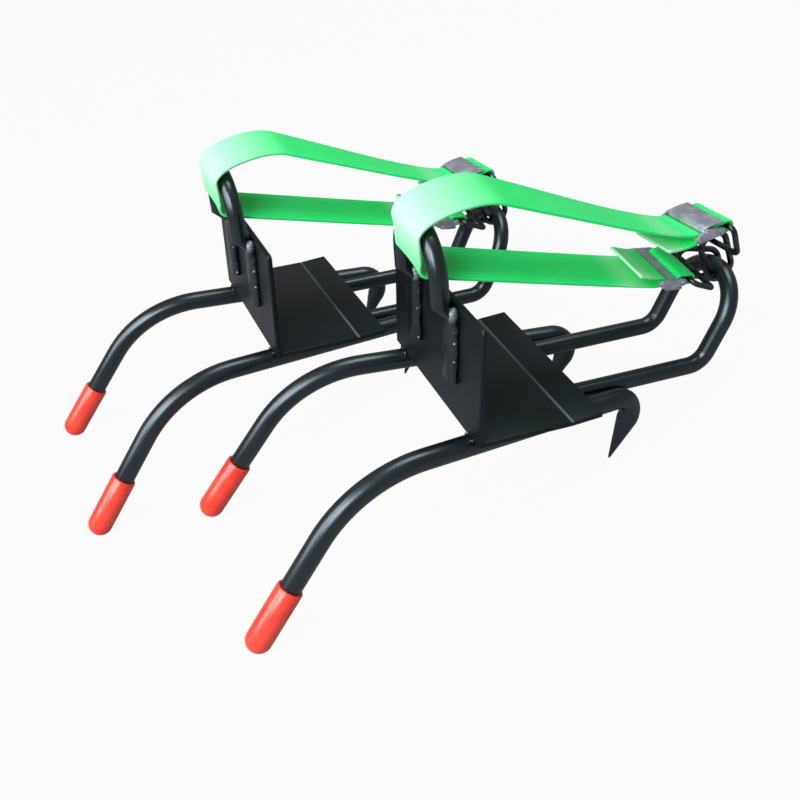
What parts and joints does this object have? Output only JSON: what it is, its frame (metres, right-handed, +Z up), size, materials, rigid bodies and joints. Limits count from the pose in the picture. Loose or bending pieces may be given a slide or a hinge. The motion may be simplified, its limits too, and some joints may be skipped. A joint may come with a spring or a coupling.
{
  "type": "tree climbing spikes",
  "caption": "Pair of welded steel tree climbing claws with capped curved arms, ground spikes, foot plates, heel loops and buckled webbing straps.",
  "frame": {"origin": "centre of the pair's bounding box, on the floor that the cap ends and spike points stand on", "axes": "+Z up, -X the way the wearer faces, +Y to the wearer's right"},
  "size_m": [0.4148, 0.2802, 0.1828],
  "materials": {
    "frame_paint": "semi-gloss",
    "cap_red": "soft gloss",
    "webbing": "woven, smooth",
    "buckle_steel": "bright",
    "ring_steel": "dark"
  },
  "bodies": {
    "first_claw": {"first_front_plate": "frame_paint", "first_foot_plate": "frame_paint", "first_left_bar": "frame_paint", "first_right_bar": "frame_paint", "first_heel_loop": "frame_paint", "first_strap_loop": "frame_paint", "first_welds": "frame_paint", "first_strap": "webbing", "first_upper_buckle_body": "buckle_steel", "first_upper_buckle_pins": "buckle_steel", "first_upper_anchor_loop": "webbing", "first_lower_buckle_body": "buckle_steel", "first_lower_buckle_pins": "buckle_steel", "first_lower_anchor_loop": "webbing"},
    "first_left_cap": {"first_left_cap": "cap_red"},
    "first_right_cap": {"first_right_cap": "cap_red"},
    "first_upper_lever": {"first_upper_buckle_lever": "buckle_steel"},
    "first_lower_lever": {"first_lower_buckle_lever": "buckle_steel"},
    "first_upper_ring": {"first_upper_strap_ring": "ring_steel"},
    "first_lower_ring": {"first_lower_strap_ring": "ring_steel"},
    "first_upper_link": {"first_upper_link": "ring_steel"},
    "first_lower_link": {"first_lower_link": "ring_steel"},
    "second_claw": {"second_front_plate": "frame_paint", "second_foot_plate": "frame_paint", "second_left_bar": "frame_paint", "second_right_bar": "frame_paint", "second_heel_loop": "frame_paint", "second_strap_loop": "frame_paint", "second_welds": "frame_paint", "second_strap": "webbing", "second_upper_buckle_body": "buckle_steel", "second_upper_buckle_pins": "buckle_steel", "second_upper_anchor_loop": "webbing", "second_lower_buckle_body": "buckle_steel", "second_lower_buckle_pins": "buckle_steel", "second_lower_anchor_loop": "webbing"},
    "second_left_cap": {"second_left_cap": "cap_red"},
    "second_right_cap": {"second_right_cap": "cap_red"},
    "second_upper_lever": {"second_upper_buckle_lever": "buckle_steel"},
    "second_lower_lever": {"second_lower_buckle_lever": "buckle_steel"},
    "second_upper_ring": {"second_upper_strap_ring": "ring_steel"},
    "second_lower_ring": {"second_lower_strap_ring": "ring_steel"},
    "second_upper_link": {"second_upper_link": "ring_steel"},
    "second_lower_link": {"second_lower_link": "ring_steel"}
  },
  "joints": [
    {"name": "first_left_cap_pull", "type": "slide", "parent": "first_claw", "child": "first_left_cap", "axis": [-0.7461, -0.0555, -0.6635], "range_m": [0, 0.04]},
    {"name": "first_right_cap_pull", "type": "slide", "parent": "first_claw", "child": "first_right_cap", "axis": [-0.7461, 0.0555, -0.6635], "range_m": [0, 0.04]},
    {"name": "first_upper_lever_lift", "type": "hinge", "parent": "first_claw", "child": "first_upper_lever", "pos_m": [0.17477, -0.08217, 0.11145], "axis": [0.0719, -0.9974, 0.0012], "range_deg": [0, 70]},
    {"name": "first_upper_ring_swing", "type": "hinge", "parent": "first_claw", "child": "first_upper_ring", "pos_m": [0.1905, -0.08104, 0.10771], "axis": [-0.0719, 0.9974, -0.0012], "range_deg": [-4, 4]},
    {"name": "first_upper_link_swing", "type": "hinge", "parent": "first_claw", "child": "first_upper_link", "pos_m": [0.19778, -0.07519, 0.06857], "axis": [0.0477, 0.9968, 0.0642], "range_deg": [-3, 3]},
    {"name": "first_lower_lever_lift", "type": "hinge", "parent": "first_claw", "child": "first_lower_lever", "pos_m": [0.15032, -0.08133, 0.08995], "axis": [-0.0276, 0.9824, 0.1847], "range_deg": [0, 70]},
    {"name": "first_lower_ring_swing", "type": "hinge", "parent": "first_claw", "child": "first_lower_ring", "pos_m": [0.16607, -0.0802, 0.0863], "axis": [-0.0276, 0.9824, 0.1847], "range_deg": [-4, 4]},
    {"name": "first_lower_link_swing", "type": "hinge", "parent": "first_claw", "child": "first_lower_link", "pos_m": [0.19723, -0.06619, 0.06783], "axis": [-0.1669, 0.96, -0.2249], "range_deg": [-3, 3]},
    {"name": "second_claw_apart", "type": "slide", "parent": "first_claw", "child": "second_claw", "axis": [0, 1, 0], "range_m": [0, 0.15]},
    {"name": "second_left_cap_pull", "type": "slide", "parent": "second_claw", "child": "second_left_cap", "axis": [-0.7438, -0.0802, -0.6635], "range_m": [0, 0.04]},
    {"name": "second_right_cap_pull", "type": "slide", "parent": "second_claw", "child": "second_right_cap", "axis": [-0.7475, 0.0308, -0.6635], "range_m": [0, 0.04]},
    {"name": "second_upper_lever_lift", "type": "hinge", "parent": "second_claw", "child": "second_upper_lever", "pos_m": [0.10398, 0.07414, 0.11145], "axis": [0.1049, -0.9945, 0.0012], "range_deg": [0, 70]},
    {"name": "second_upper_ring_swing", "type": "hinge", "parent": "second_claw", "child": "second_upper_ring", "pos_m": [0.11966, 0.07579, 0.10771], "axis": [-0.1049, 0.9945, -0.0012], "range_deg": [-4, 4]},
    {"name": "second_upper_link_swing", "type": "hinge", "parent": "second_claw", "child": "second_upper_link", "pos_m": [0.12675, 0.08188, 0.06857], "axis": [0.0146, 0.9978, 0.0642], "range_deg": [-3, 3]},
    {"name": "second_lower_lever_lift", "type": "hinge", "parent": "second_claw", "child": "second_lower_lever", "pos_m": [0.07951, 0.07417, 0.08995], "axis": [-0.0602, 0.981, 0.1847], "range_deg": [0, 70]},
    {"name": "second_lower_ring_swing", "type": "hinge", "parent": "second_claw", "child": "second_lower_ring", "pos_m": [0.09522, 0.07582, 0.0863], "axis": [-0.0602, 0.981, 0.1847], "range_deg": [-4, 4]},
    {"name": "second_lower_link_swing", "type": "hinge", "parent": "second_claw", "child": "second_lower_link", "pos_m": [0.1259, 0.09086, 0.06783], "axis": [-0.1986, 0.9539, -0.2249], "range_deg": [-3, 3]}
  ]
}
